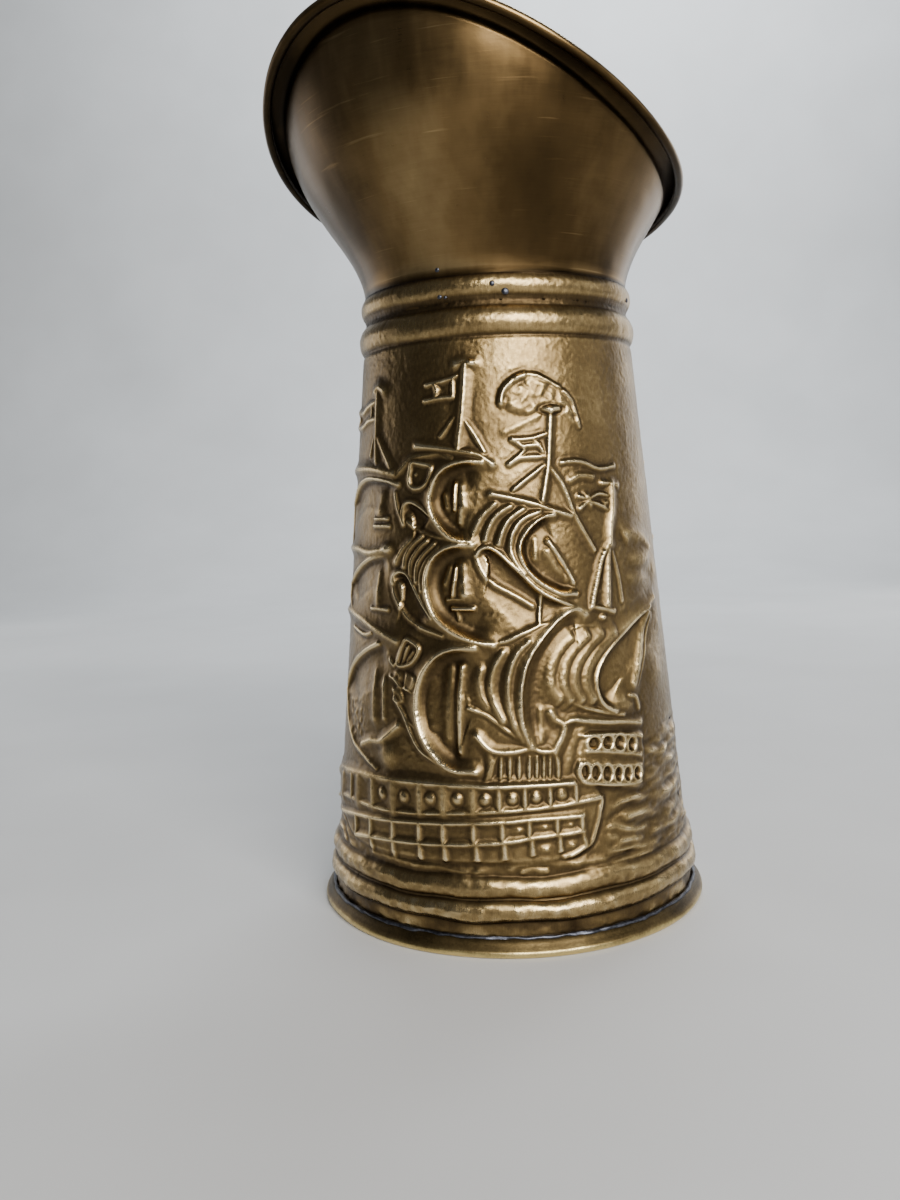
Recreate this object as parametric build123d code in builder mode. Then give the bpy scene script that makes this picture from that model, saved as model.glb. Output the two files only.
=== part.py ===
"""Pressed-brass umbrella stand in the shape of a jug without a handle.

Two stamped half panels make a tapered body, open at the top and closed below by a spun pan. A flared
collar plugs into the neck. Its mouth is cut on a swooping slant, high at the spout and low at the
back, and its edge turns out into a lip that is curled round a steel wire. Everything is soft-soldered.

Millimetres, +Z up. The origin is on the body's axis, on the surface that the stand rests on.
The spout faces -Y. The two side seams lie close to +X and -X.
"""
from build123d import *
from math import cos, degrees, exp, hypot, pi, sin
import os

# Sheet, wire and solder
sheet = 0.7                 # thickness of the panels and the collar
pan_sheet = 0.8             # thickness of the base pan
wire_radius = 1.6           # steel wire inside the curled lip
curl_clearance = wire_radius / 8    # between the wire and the curl, and more for a thicker wire
solder_leg = 1.0            # height of the solder fillet under the spigot
solder_angle = 0.7          # width, in degrees, of the solder run beside each tongue

# Body: a straight taper with a short straight neck
body_foot_radius = 95.0     # outside of the taper where it would meet the ground
taper = 0.0953              # radius lost for each millimetre of height
neck_top = 307.8            # upper edge of the panels
lap_width = 8.0             # how far the back panel reaches behind the front one
lap_grip = 2.5              # angle, in degrees, over which the lap's tongue holds its own panel
seam_turn = 20              # how far, in degrees, the seams are turned from square to the spout

# Rolled beads: half width, and how far the crest stands out
foot_beads = [(5.2, 3.4), (5.2, 2.7)]   # one on top of the other
foot_strip = 6.6                        # plain strip between the base pan and the first bead
lower_neck_bead = (6.5, 2.3)            # ends where the straight neck starts
upper_neck_bead = (4.6, 1.5)
upper_bead_drop = 5.4                   # from the panels' upper edge down to the upper bead's crest

# Base pan
foot_overhang = 5.0         # how far the rolled foot stands out past the taper
pan_roll = 2.2              # radius of the foot's rolled edge
pan_wrap = 140              # angle, in degrees, that the rolled edge goes round
pan_height = 8.0            # upper edge of the turned-up rim

# Collar
spigot_length = 13.6        # how far the collar reaches down inside the neck
spigot_clearance = 0.05     # between the spigot and the inside of the neck
seam_gap = 0.2              # open line between the panels and the collar
flare = 37.0                # how much wider than the neck the flare would end
flare_height = 51.2         # height scale of the flare
flare_power = 1.7           # how slowly the flare starts
flare_points = 5            # points on the flare's curve in each section

# Mouth: rise of the lip's curl above the neck seam, as a sum of cosines of the angle from the spout
mouth_mean = 59.1
mouth_swoop = [36.2, 8.7, 4.2]
lip_gap_mean = 5.1          # how far the curl stands clear of the flare, halfway round
lip_gap_swing = 5.2         # added at the spout and taken off at the back
lip_rise_share = 0.55       # height over which the lip turns out, as a share of its reach
curl_wrap = 220             # angle, in degrees, that the curl goes round the wire
wire_points = 24            # points round the loop of wire
collar_sections = 12        # steps between the collar's sections, from the spout to the back

small_step = 0.01           # for taking slopes, and the shortest line worth drawing

seam_height = neck_top + seam_gap
spigot_bottom = seam_height - spigot_length
neck_bottom = spigot_bottom - solder_leg
neck_radius = body_foot_radius - taper * neck_bottom
spigot_radius = neck_radius - sheet - spigot_clearance
curl_radius = wire_radius + curl_clearance + sheet / 2
curl_reach = curl_radius + sheet / 2
foot_beads_bottom = pan_height + foot_strip
foot_beads_top = foot_beads_bottom + sum(2 * half_width for half_width, proud in foot_beads)
neck_beads_bottom = neck_bottom - 2 * lower_neck_bead[0]


def body_radius(height):
    """Outside radius of the plain body, without beads."""
    return body_foot_radius - taper * min(height, neck_bottom)


def flare_radius(rise):
    """Outside radius of the collar at this rise above the neck seam: an S-shaped flare."""
    return spigot_radius + flare * (1 - exp(-((rise / flare_height) ** flare_power)))


def lip_centre(turn):
    """Radius and height of the curl's centre at this angle from the spout."""
    rise = mouth_mean + sum(a * cos((n + 1) * turn) for n, a in enumerate(mouth_swoop))
    reach = 2 * curl_reach + lip_gap_mean + lip_gap_swing * cos(turn)
    return flare_radius(rise) + reach - curl_reach, seam_height + rise, reach


def flare_slope(rise):
    """Direction of the flare at this rise, as a step outwards and a step up."""
    return (flare_radius(rise + small_step) - flare_radius(rise)) / small_step, 1.0


def beside_flare(rise, inwards):
    """Point of the flare at this rise, moved square to the sheet by this much from its outside."""
    outwards, up = flare_slope(rise)
    length = hypot(outwards, up)
    return flare_radius(rise) - inwards * up / length, seam_height + rise + inwards * outwards / length


def collar_side(turn, inwards):
    """One side of the collar's sheet at this angle from the spout: spigot, flare, lip and curl."""
    lip_radius, lip_height, reach = lip_centre(turn)
    flare_top = lip_height - seam_height - lip_rise_share * reach
    curl = curl_radius + inwards - sheet / 2
    spigot = Line((spigot_radius - inwards, spigot_bottom), (spigot_radius - inwards, seam_height))
    rises = [flare_top * (n + 1) / flare_points for n in range(flare_points)]
    flare_line = Spline([spigot @ 1] + [beside_flare(rise, inwards) for rise in rises],
                        tangents=((0, 1), flare_slope(flare_top)))
    lip = Spline(flare_line @ 1, (lip_radius, lip_height + curl), tangents=(flare_slope(flare_top), (1, 0)))
    end = CenterArc((lip_radius, lip_height), curl, 90, -curl_wrap)
    return spigot @ 0, end @ 1


def section_plane(turn):
    """Upright plane through the axis at this angle from the spout: local x outwards, local y up."""
    outwards = Vector(sin(turn), -cos(turn), 0)
    return Plane(origin=(0, 0, 0), x_dir=outwards, z_dir=outwards.cross(Vector(0, 0, 1)))


def wire_point(turn):
    """Point of the wire's middle line at this angle from the spout."""
    lip_radius, lip_height, reach = lip_centre(turn)
    return lip_radius * sin(turn), -lip_radius * cos(turn), lip_height


def half_turn():
    """Angles of the sections over half the mouth, from the spout to the back."""
    return [pi * n / collar_sections for n in range(collar_sections + 1)]


def bead_places():
    """Height of the crest, half width and stand of every bead, from the ground up."""
    places = []
    bottom = foot_beads_bottom
    for half_width, proud in foot_beads:
        places.append((bottom + half_width, half_width, proud))
        bottom += 2 * half_width
    places.append((neck_bottom - lower_neck_bead[0], *lower_neck_bead))
    places.append((neck_top - upper_bead_drop, *upper_neck_bead))
    return places


def body_outline(inwards):
    """One side of the body's section, from the ground up, moved inwards by this much."""
    start = (body_radius(pan_sheet) - inwards, pan_sheet)
    for height, half_width, proud in bead_places():
        below = (body_radius(height - half_width) - inwards, height - half_width)
        crest = (body_radius(height) + proud - inwards, height)
        above = (body_radius(height + half_width) - inwards, height + half_width)
        if hypot(below[0] - start[0], below[1] - start[1]) > small_step:
            Line(start, below)
        ThreePointArc(below, crest, above)
        start = above
    end = (neck_radius - inwards, neck_top)
    Line(start, end)
    return end


os.makedirs("parts", exist_ok=True)

# The two stamped panels. Each is half of the same turned section.
seam_plane = Plane.XZ.rotated((0, 0, seam_turn))
with BuildPart() as front_panel:
    with BuildSketch(seam_plane) as body_section:
        with BuildLine():
            outer_end = body_outline(0)
            inner_end = body_outline(sheet)
            Line(outer_end, inner_end)
            Line((body_radius(pan_sheet), pan_sheet), (body_radius(pan_sheet) - sheet, pan_sheet))
        make_face()
    revolve(axis=Axis.Z, revolution_arc=-180)

# The back panel's edges step in behind the front panel's, on the plain stretch between the beads.
lap_angle = degrees(lap_width / body_radius((foot_beads_top + neck_beads_bottom) / 2))


def strip_section(plane):
    """Section of a strip close behind the plain stretch of the body, as thick as the sheet."""
    low, high = body_radius(foot_beads_top) - sheet, body_radius(neck_beads_bottom) - sheet
    with BuildSketch(plane) as section:
        with BuildLine():
            Polyline((low, foot_beads_top), (high, neck_beads_bottom), (high - sheet, neck_beads_bottom),
                     (low - sheet, foot_beads_top), close=True)
        make_face()
    return section.sketch


with BuildPart() as back_panel:
    revolve(body_section.sketch, axis=Axis.Z, revolution_arc=180)
    for side, sense in ((0, 1), (180, -1)):
        start = Plane.XZ.rotated((0, 0, seam_turn + side + sense * lap_grip))
        revolve(strip_section(start), axis=Axis.Z, revolution_arc=-sense * (lap_angle + lap_grip))

# A run of solder along the free edge of each tongue.
with BuildPart() as side_seam_solder:
    for side, sense in ((0, 1), (180, -1)):
        start = Plane.XZ.rotated((0, 0, seam_turn + side - sense * lap_angle))
        revolve(strip_section(start), axis=Axis.Z, revolution_arc=-sense * solder_angle)

# The spun pan: a flat floor, a rolled foot that stands out all round, and a turned-up rim.
foot_centre = (body_foot_radius + foot_overhang - pan_roll, pan_roll)
rim_inside = body_radius(pan_sheet)
with BuildPart() as base_pan:
    with BuildSketch(Plane.XZ):
        with BuildLine():
            outer_roll = CenterArc(foot_centre, pan_roll, -90, pan_wrap)
            inner_roll = CenterArc(foot_centre, pan_roll - pan_sheet, -90, pan_wrap)
            rim_top_out = (rim_inside + pan_sheet, pan_height)
            rim_top_in = (rim_inside, pan_height)
            outer_cove = Spline(outer_roll @ 1, rim_top_out, tangents=(outer_roll % 1, (0, 1)))
            inner_cove = Spline(inner_roll @ 1, rim_top_in, tangents=(inner_roll % 1, (0, 1)))
            Line(rim_top_out, rim_top_in)
            Line((0, 0), outer_roll @ 0)
            Line((0, pan_sheet), inner_roll @ 0)
            Line((0, 0), (0, pan_sheet))
        make_face()
    revolve(axis=Axis.Z)

# Solder in the wedge between the pan's rim and the tapering body.
with BuildPart() as base_solder_ring:
    with BuildSketch(Plane.XZ):
        with BuildLine():
            Polyline((rim_inside, pan_sheet), (rim_inside, pan_height),
                     (body_radius(pan_height), pan_height), close=True)
        make_face()
    revolve(axis=Axis.Z)

# The collar, lofted through upright sections from the spout to the back, and mirrored.
with BuildPart() as mouth_collar:
    for turn in half_turn():
        with BuildSketch(section_plane(turn)):
            with BuildLine():
                outside_start, outside_end = collar_side(turn, 0)
                inside_start, inside_end = collar_side(turn, sheet)
                Line(outside_start, inside_start)
                Line(outside_end, inside_end)
            make_face()
    loft()
    mirror(about=Plane.YZ)

# The steel wire inside the curl: half of a closed loop, swept, and its mirror image.
with BuildPart() as rim_wire:
    turns = [2 * pi * n / wire_points for n in range(wire_points)]
    loop = Spline([wire_point(turn) for turn in turns], periodic=True, mode=Mode.PRIVATE)
    half_loop = loop.trim(0, 0.5)
    with BuildSketch(Plane(origin=half_loop @ 0, z_dir=half_loop % 0)):
        Circle(wire_radius)
    sweep(path=half_loop)
    mirror(about=Plane.YZ)

# A fillet of solder inside the neck, under the spigot's edge.
with BuildPart() as neck_solder_ring:
    with BuildSketch(Plane.XZ):
        with BuildLine():
            neck_wall = neck_radius - sheet
            Polyline((neck_wall, spigot_bottom), (spigot_radius - sheet, spigot_bottom),
                     (neck_wall, neck_bottom), close=True)
        make_face()
    revolve(axis=Axis.Z)

for piece, name in (
    (front_panel, "front_panel"),
    (back_panel, "back_panel"),
    (side_seam_solder, "side_seam_solder"),
    (base_pan, "base_pan"),
    (base_solder_ring, "base_solder_ring"),
    (mouth_collar, "mouth_collar"),
    (rim_wire, "rim_wire"),
    (neck_solder_ring, "neck_solder_ring"),
):
    piece.part.label = name
    export_step(piece.part, f"parts/{name}.step")
    print(name, "volume", round(piece.part.volume), "mm3", piece.part.bounding_box())
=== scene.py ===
"""Looks of a pressed-brass umbrella stand: an embossed tapered body, a flared mouth collar and a foot.

The body's relief is a height map, in millimetres above the plain taper. It is drawn on the developed
panel: x runs round the body to the right, y up, both in millimetres. The same panel is used twice.
Everything else is a surface of two parameters, or a profile carried round the axis.
"""
import math

import bpy
import numpy as np
from mathutils import Matrix, Vector


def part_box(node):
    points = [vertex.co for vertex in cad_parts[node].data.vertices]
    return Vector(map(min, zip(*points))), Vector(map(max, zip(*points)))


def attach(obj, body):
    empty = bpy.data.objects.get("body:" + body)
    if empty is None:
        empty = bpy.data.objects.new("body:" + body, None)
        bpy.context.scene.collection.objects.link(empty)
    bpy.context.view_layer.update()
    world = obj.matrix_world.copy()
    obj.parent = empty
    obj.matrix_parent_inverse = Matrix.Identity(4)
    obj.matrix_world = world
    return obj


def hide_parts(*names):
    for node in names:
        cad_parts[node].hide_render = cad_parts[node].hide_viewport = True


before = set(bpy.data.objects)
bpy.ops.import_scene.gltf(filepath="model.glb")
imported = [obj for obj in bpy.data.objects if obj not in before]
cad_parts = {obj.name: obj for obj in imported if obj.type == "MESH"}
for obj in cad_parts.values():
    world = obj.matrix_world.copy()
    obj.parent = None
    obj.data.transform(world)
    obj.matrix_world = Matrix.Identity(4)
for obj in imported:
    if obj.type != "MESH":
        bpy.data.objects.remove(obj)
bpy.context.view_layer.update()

MM = 0.001
SHEET = 0.7                      # thickness of the pressed sheet

# Body: a straight taper up to a short straight neck, as in the CAD
FOOT_RADIUS = 95.0
TAPER = 0.0953
NECK_BOTTOM = 293.4
BODY_BOTTOM, NECK_TOP = (corner[2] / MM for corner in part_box("front_panel"))
BEADS = [(19.8, 5.2, 3.4), (30.2, 5.2, 2.7), (286.9, 6.5, 2.3), (302.4, 4.6, 1.5)]
SEAM_TURN = 20.0                 # angle of the side seams from +X

# Panel: the meridian x = 0 of the relief, and the angles that the panel spans about it
ZERO_MERIDIAN = -60.4
PANEL_END = SEAM_TURN - ZERO_MERIDIAN
PANEL_START = PANEL_END - 180.0
COLUMNS, ROWS = 500, 612
STRIPS = 4                       # meshes that each panel is cut into
MEAN_RADIUS = 81.0               # of the body, which turns its angles into mm
NECK_COVE, LOWER_COVE = 295.6, 279.6   # heights of the hollows between and below the neck beads
RELIEF_BOTTOM, RELIEF_TOP = 34, 281    # the ship scene fades out at these heights
FOOT_STRIP_TOP = 15.5            # the body is mottled below this height, just over the pan
INNER_STEP = 4                   # the inside of the sheet is this much coarser


# ------------------------------------------------------------------------------- mesh and noise

def make_piece(name, points, faces, uv=None, paint=None, normals=None):
    """New object from an array of points in mm and a list of arrays of faces."""
    mesh = bpy.data.meshes.new(name)
    mesh.vertices.add(len(points))
    mesh.vertices.foreach_set("co", (points * MM).astype(np.float32).ravel())
    corners = np.concatenate([f.ravel() for f in faces]).astype(np.int32)
    sizes = np.concatenate([np.full(len(f), f.shape[1]) for f in faces])
    mesh.loops.add(len(corners))
    mesh.loops.foreach_set("vertex_index", corners)
    mesh.polygons.add(len(sizes))
    mesh.polygons.foreach_set("loop_start", (np.cumsum(sizes) - sizes).astype(np.int32))
    mesh.update(calc_edges=True)
    mesh.shade_smooth()
    if uv is not None:
        layer = mesh.uv_layers.new(name="sheet")
        layer.data.foreach_set("uv", uv[corners].astype(np.float32).ravel())
    for key, values in (paint or {}).items():
        mesh.attributes.new(key, "FLOAT", "POINT").data.foreach_set("value", values.astype(np.float32))
    if normals is not None:
        mesh.normals_split_custom_set_from_vertices(normals)
    piece = bpy.data.objects.new(name, mesh)
    bpy.context.scene.collection.objects.link(piece)
    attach(piece, "root")
    return piece


def grid_faces(rows, columns, start=0, wrap_rows=False, wrap_columns=False):
    """Quads of a grid whose point (r, c) has the number start + r * columns + c."""
    r = np.arange(rows if wrap_rows else rows - 1)[:, None]
    c = np.arange(columns if wrap_columns else columns - 1)[None, :]
    r1, c1 = (r + 1) % rows, (c + 1) % columns
    quads = np.stack([r * columns + c, r * columns + c1, r1 * columns + c1, r1 * columns + c], -1)
    return start + quads.reshape(-1, 4)


def smooth(field, grain, spacing):
    """The field blurred with a bell curve of this size (up, across), by Fourier transform."""
    up, across = np.broadcast_to(grain, 2)
    fy = np.fft.fftfreq(field.shape[0], spacing[0])[:, None]
    fx = np.fft.rfftfreq(field.shape[1], spacing[1])[None, :]
    bell = np.exp(-2 * np.pi ** 2 * ((across * fx) ** 2 + (up * fy) ** 2))
    return np.fft.irfft2(np.fft.rfft2(field) * bell, s=field.shape)


def noise(shape, grain, spacing, seed):
    """Soft seeded noise whose lumps are about this size, with a spread of 1."""
    field = smooth(np.random.default_rng(seed).standard_normal(shape), grain, spacing)
    return field / field.std()


def ease(t):
    """Smooth step from 0 to 1."""
    t = np.clip(t, 0, 1)
    return t * t * (3 - 2 * t)


# ------------------------------------------------------------------------- the developed panel

angles = np.linspace(PANEL_START, PANEL_END, COLUMNS + 1)
heights = np.linspace(BODY_BOTTOM, NECK_TOP, ROWS + 1)
taper_radius = FOOT_RADIUS - TAPER * np.minimum(heights, NECK_BOTTOM)
Y = np.repeat(heights[:, None], COLUMNS + 1, 1)
X = np.radians(angles)[None, :] * taper_radius[:, None]
SPACING = (heights[1] - heights[0], math.radians(angles[1] - angles[0]) * MEAN_RADIUS)
crests = np.zeros_like(X)        # ridges, which never add up where they cross
chased = np.zeros_like(X)        # grooves struck beside the ridges
swell = np.zeros_like(X)         # broad swelling and sinking


def curve(points, step=0.5, closed=False):
    """Points along a smooth line through these points (Catmull-Rom), about one step apart."""
    p = np.array(points, float)
    if len(p) == 2:
        n = max(2, int(np.hypot(*(p[1] - p[0])) / step))
        return p[0] + (p[1] - p[0]) * np.linspace(0, 1, n)[:, None]
    ends = (p[-1:], p[:2]) if closed else (2 * p[:1] - p[1:2], 2 * p[-1:] - p[-2:-1])
    p = np.concatenate([ends[0], p, ends[1]])
    pieces = []
    for a, b, c, d in zip(p, p[1:], p[2:], p[3:]):
        t = np.linspace(0, 1, max(2, int(np.hypot(*(c - b)) / step)), endpoint=False)[:, None]
        pieces.append(b + 0.5 * t * (c - a + t * (2 * a - 5 * b + 4 * c - d + t * (3 * (b - c) + d - a))))
    pieces.append(p[-2:-1])
    return np.concatenate(pieces)


def window(line, reach):
    """Slices of the panel's grid that hold every point within reach of the line."""
    low, high = line.min(0) - reach, line.max(0) + reach
    r0, r1 = np.searchsorted(heights, (low[1], high[1]))
    r0, r1 = max(r0 - 1, 0), min(r1 + 1, ROWS + 1)
    radii = taper_radius[[r0, r1 - 1]]
    c0 = np.searchsorted(angles, math.degrees(min(low[0] / radii)))
    c1 = np.searchsorted(angles, math.degrees(max(high[0] / radii)))
    return slice(r0, r1), slice(max(c0 - 1, 0), min(c1 + 1, COLUMNS + 1))


def nearest(line, reach):
    """Window, and in it the distance to the line, the side (+ is left) and the share of its length."""
    w = window(line, reach)
    px, py = X[w], Y[w]
    best = np.full(px.shape, 1e9)
    side = np.zeros(px.shape)
    along = np.zeros(px.shape)
    lengths = np.hypot(*np.diff(line, axis=0).T)
    done = np.concatenate([[0], np.cumsum(lengths)])
    for (ax, ay), (bx, by), length, start in zip(line, line[1:], lengths, done):
        if length == 0:
            continue
        ux, uy = (bx - ax) / length, (by - ay) / length
        t = np.clip((px - ax) * ux + (py - ay) * uy, 0, length)
        dx, dy = px - ax - t * ux, py - ay - t * uy
        squared = dx * dx + dy * dy
        closer = squared < best
        best = np.where(closer, squared, best)
        side = np.where(closer, np.sign(ux * dy - uy * dx), side)
        along = np.where(closer, (start + t) / done[-1], along)
    return w, np.sqrt(best), side, along


LINE_HEIGHT = 1.08               # of every raised line, as a share of the height asked for
LINE_WIDTH = 1.14                # and of the width asked for


def ridge(points, width, height=1.2, groove=0.45, fade=0.0, closed=False):
    """A raised line: a rounded crest of this full width, with a soft groove struck down each side."""
    width = LINE_WIDTH * width
    line = curve(points, closed=closed)
    w, d, _, along = nearest(line, width * 2.8)
    ends = 1.0 if not fade else ease(along / fade) * ease((1 - along) / fade)
    top = np.exp(-(d / (0.5 * width)) ** 2.2)
    skirt = np.exp(-(d / (1.2 * width)) ** 2)
    sharp = np.interp(width, (1.5, 3.0), (0.72, 0.52))
    crest = LINE_HEIGHT * height * (sharp * top + (1 - sharp) * skirt) * ends
    dip = 0.62 * groove * np.exp(-((d - 1.2 * width) / (0.6 * width)) ** 2) * ends
    crests[w] = np.maximum(crests[w], crest)
    chased[w] = np.maximum(chased[w], dip)


def hollow(points, depth, reach, sense=1, fade=0.15):
    """A dish beside a line: it falls off steeply at the line and rises gently away from it."""
    line = curve(points, step=1.5)
    w, d, side, along = nearest(line, reach * 4)
    share = d / reach
    dish = share * np.exp(1 - share) * ease(4 - share) * ease(along / fade) * ease((1 - along) / fade)
    swell[w] -= depth * dish * (side * sense > 0)


def bank(points, height, reach, sense=1, fade=0.15):
    """A swelling beside a line, highest at the line and falling gently away from it."""
    line = curve(points, step=1.5)
    w, d, side, along = nearest(line, reach * 2)
    hill = ease(1 - d / (2 * reach)) * ease(along / fade) * ease((1 - along) / fade)
    swell[w] += height * hill * (side * sense > 0)


def inside(points, soft):
    """Window, and in it 1 inside a closed outline and 0 outside, with an edge this soft."""
    line = curve(points + points[:1], step=1.5)
    w, d, _, _ = nearest(line, soft)
    px, py = X[w], Y[w]
    within = np.zeros(px.shape, bool)
    for (ax, ay), (bx, by) in zip(line, line[1:]):
        if ay != by:
            crosses = (ay > py) != (by > py)
            within ^= crosses & (px < (bx - ax) * (py - ay) / (by - ay) + ax)
    return w, ease(0.5 + np.where(within, d, -d) / (2 * soft))


def raise_area(points, height, soft):
    """Lifts or sinks a whole area by this much, with a soft edge."""
    w, mask = inside(points, soft)
    swell[w] += height * mask


def boss(x, y, rx, ry, height, ring=0.0):
    """A domed knob, or with a ring a dished one."""
    w = window(np.array([[x - 1.5 * rx, y - 1.5 * ry], [x + 1.5 * rx, y + 1.5 * ry]]), 1.0)
    d = np.hypot((X[w] - x) / rx, (Y[w] - y) / ry)
    swell[w] += height * np.exp(-d ** 2.4 * 1.2) - ring * np.exp(-((d - 1.25) / 0.3) ** 2)


def roughen(points, height, grain, soft, seed):
    """Random chasing inside an outline, of this grain (up, across)."""
    w, mask = inside(points, soft)
    swell[w] += height * mask * noise(mask.shape, grain, SPACING, seed)


# ----------------------------------------------------------------------------------- the ship

def fore_mast():
    """Left mast with its cap, stays and streamer."""
    ridge([(-69, 259.6), (-65.5, 261.4), (-61.5, 259.6)], 3.2, 1.5)
    ridge([(-66.8, 259), (-68, 241), (-68.5, 226)], 3.0, 1.4)
    ridge([(-66.5, 237), (-62, 230), (-56.5, 222)], 2.6)
    ridge([(-70, 239), (-75, 229)], 1.8, 0.9)
    ridge([(-69, 254.5), (-77, 253), (-86, 250.5), (-97, 252)], 2.2)
    ridge([(-69, 246.5), (-77, 246), (-86, 243.5), (-98, 244)], 2.2)
    ridge([(-73, 253), (-74, 247)], 2.0, 0.9)
    ridge([(-97, 252), (-91, 248), (-98, 244)], 1.8)


def main_mast():
    """Tall middle mast with its cap, ball, stays and swallow-tailed flag."""
    ridge([(-18.5, 267.6), (-14.5, 268.6), (-10.8, 267.6)], 2.8, 1.4)
    boss(-12, 267.6, 1.6, 1.4, 1.0)
    ridge([(-14.4, 267), (-16.3, 248), (-17.2, 241), (-19.2, 229)], 2.6, 1.7)
    ridge([(-15.5, 242), (-11, 235), (-6.8, 227.2)], 1.7, 1.2)
    ridge([(-20.5, 243.5), (-27.5, 235)], 1.4, 0.6)
    ridge([(-18.5, 262.3), (-23, 260.9), (-34, 259.2)], 1.5, 0.9)
    ridge([(-20.8, 252.8), (-27, 252.8), (-35, 252)], 1.5, 0.9)
    ridge([(-30, 259.5), (-28.8, 256), (-30, 252.8)], 1.7, 0.9)
    ridge([(-20.6, 261), (-20.8, 253)], 1.4, 0.8)


def third_mast():
    """Mast before the cloud, with an oval cap, stays and a swallow-tailed pennant."""
    boss(24.5, 245.6, 4.8, 1.8, 1.6, ring=0.7)
    ridge([(23.8, 244), (23.0, 234), (22.0, 221), (20.4, 212), (18.8, 204.5)], 2.2, 1.7)
    ridge([(20.5, 220.5), (12, 214.5), (5.5, 209.5)], 1.5, 1.0)
    ridge([(23, 219), (28, 212.5), (31.2, 205.5), (33.5, 199), (38, 191), (44.5, 181)], 1.9, 1.2)
    ridge([(22.5, 234.8), (14, 232.6), (5.8, 232.4)], 1.5, 1.1)
    ridge([(5.8, 232.4), (10.5, 229), (10.5, 226.5), (4.2, 221.4)], 1.5, 1.0)
    ridge([(4.2, 221.4), (10, 224), (20.5, 224.4)], 1.6, 1.0)
    ridge([(10.5, 229.3), (17.5, 229.4), (20, 226)], 1.6, 1.2)
    ridge([(15.5, 232), (18.5, 230)], 1.3, 1.0)


def mizzen_mast():
    """Right mast: flag above, and below it a rope ladder with a serrated edge."""
    ridge([(50.8, 211.6), (56, 211.1), (61, 210.2)], 1.9, 1.3)
    ridge([(56.6, 211), (56.4, 201), (54.6, 192), (53.8, 183)], 2.7, 1.8)
    ridge([(37, 205.8), (42, 204.6), (48, 206.6), (55, 205.4)], 1.4, 1.1)
    ridge([(37.2, 200.2), (41.6, 202.6), (47, 202), (54.5, 198.6)], 1.5, 1.1)
    ridge([(41.5, 205.5), (43.2, 202)], 2.2, 1.2)
    boss(52.2, 202.2, 1.8, 1.7, 1.0)
    leg = [(53.6, 184), (48.6, 176.5), (46.6, 170.5), (44, 162.5), (42, 155)]
    ridge(leg, 2.3, 1.6)
    line = curve(leg, step=0.4)
    for x, y in line[12::5]:
        boss(x - 1.1, y - 0.1, 0.75, 0.75, 0.9)
    ridge([(52.6, 181), (51.8, 168), (51.2, 155)], 2.3, 1.6)
    for y, x0 in ((171.5, 47.5), (166.5, 46.2), (161.8, 44.8)):
        ridge([(x0, y), (51, y - 0.6)], 0.9, 0.5, groove=0.1)
    ridge([(40, 153), (43, 154.6), (48, 153.6), (55, 151.8)], 1.7, 1.3)
    boss(48.3, 149.8, 1.7, 1.6, 1.3)
    ridge([(55.3, 180), (58.2, 172), (60.2, 163), (61.2, 156)], 1.2, 0.6)


def sky():
    """Textured cloud with a scalloped top, wavy streaks, and the bank of cloud at the right."""
    cloud = [(0.5, 247.5), (1.5, 254), (6, 259.6), (12, 262.2), (18.5, 261.6), (25, 258.2), (31, 254.5),
             (35.5, 249.5), (37.5, 243.5), (39.3, 237), (34, 240), (29, 245), (20, 246), (12, 243.6)]
    raise_area(cloud, 0.8, 1.4)
    roughen(cloud, 0.16, 0.9, 2.0, seed=11)
    ridge([(1, 249.5), (2.2, 254.5), (6.2, 259), (12, 261.4)], 1.8, 0.7, groove=0.6)
    ridge([(14, 261.8), (19, 261), (25.5, 257.4), (29, 255.8)], 1.2, 0.4, groove=0.4)
    ridge([(31, 254), (35, 249.5), (37.2, 243.5), (38.8, 237.5)], 1.1, 0.4, groove=0.4)
    ridge([(2, 236), (10, 239), (19, 243.2)], 2.2, 0.35, groove=0.1)
    ridge([(28.5, 221.4), (35, 222), (41, 221), (46.5, 218.7), (52, 218.2), (59.5, 219.4)], 1.5, 1.0)
    ridge([(33, 213.2), (38, 215.2), (45, 214.6)], 2.0, 0.8)
    ridge([(63, 185), (68.5, 187.6), (76, 186), (84, 183), (91, 178.5)], 5.0, 1.6, fade=0.1)
    boss(79, 175, 10, 4.5, 1.5)
    boss(74, 166, 9, 4, 0.8)
    boss(88, 118.5, 10, 9, 1.0)
    boss(95, 147, 6, 9, 0.8)
    boss(97, 168, 7, 7, 0.9)


def rims(rows):
    """Ridges from rows of (width, height, points)."""
    for width, height, points in rows:
        ridge(points, width, height)


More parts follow.
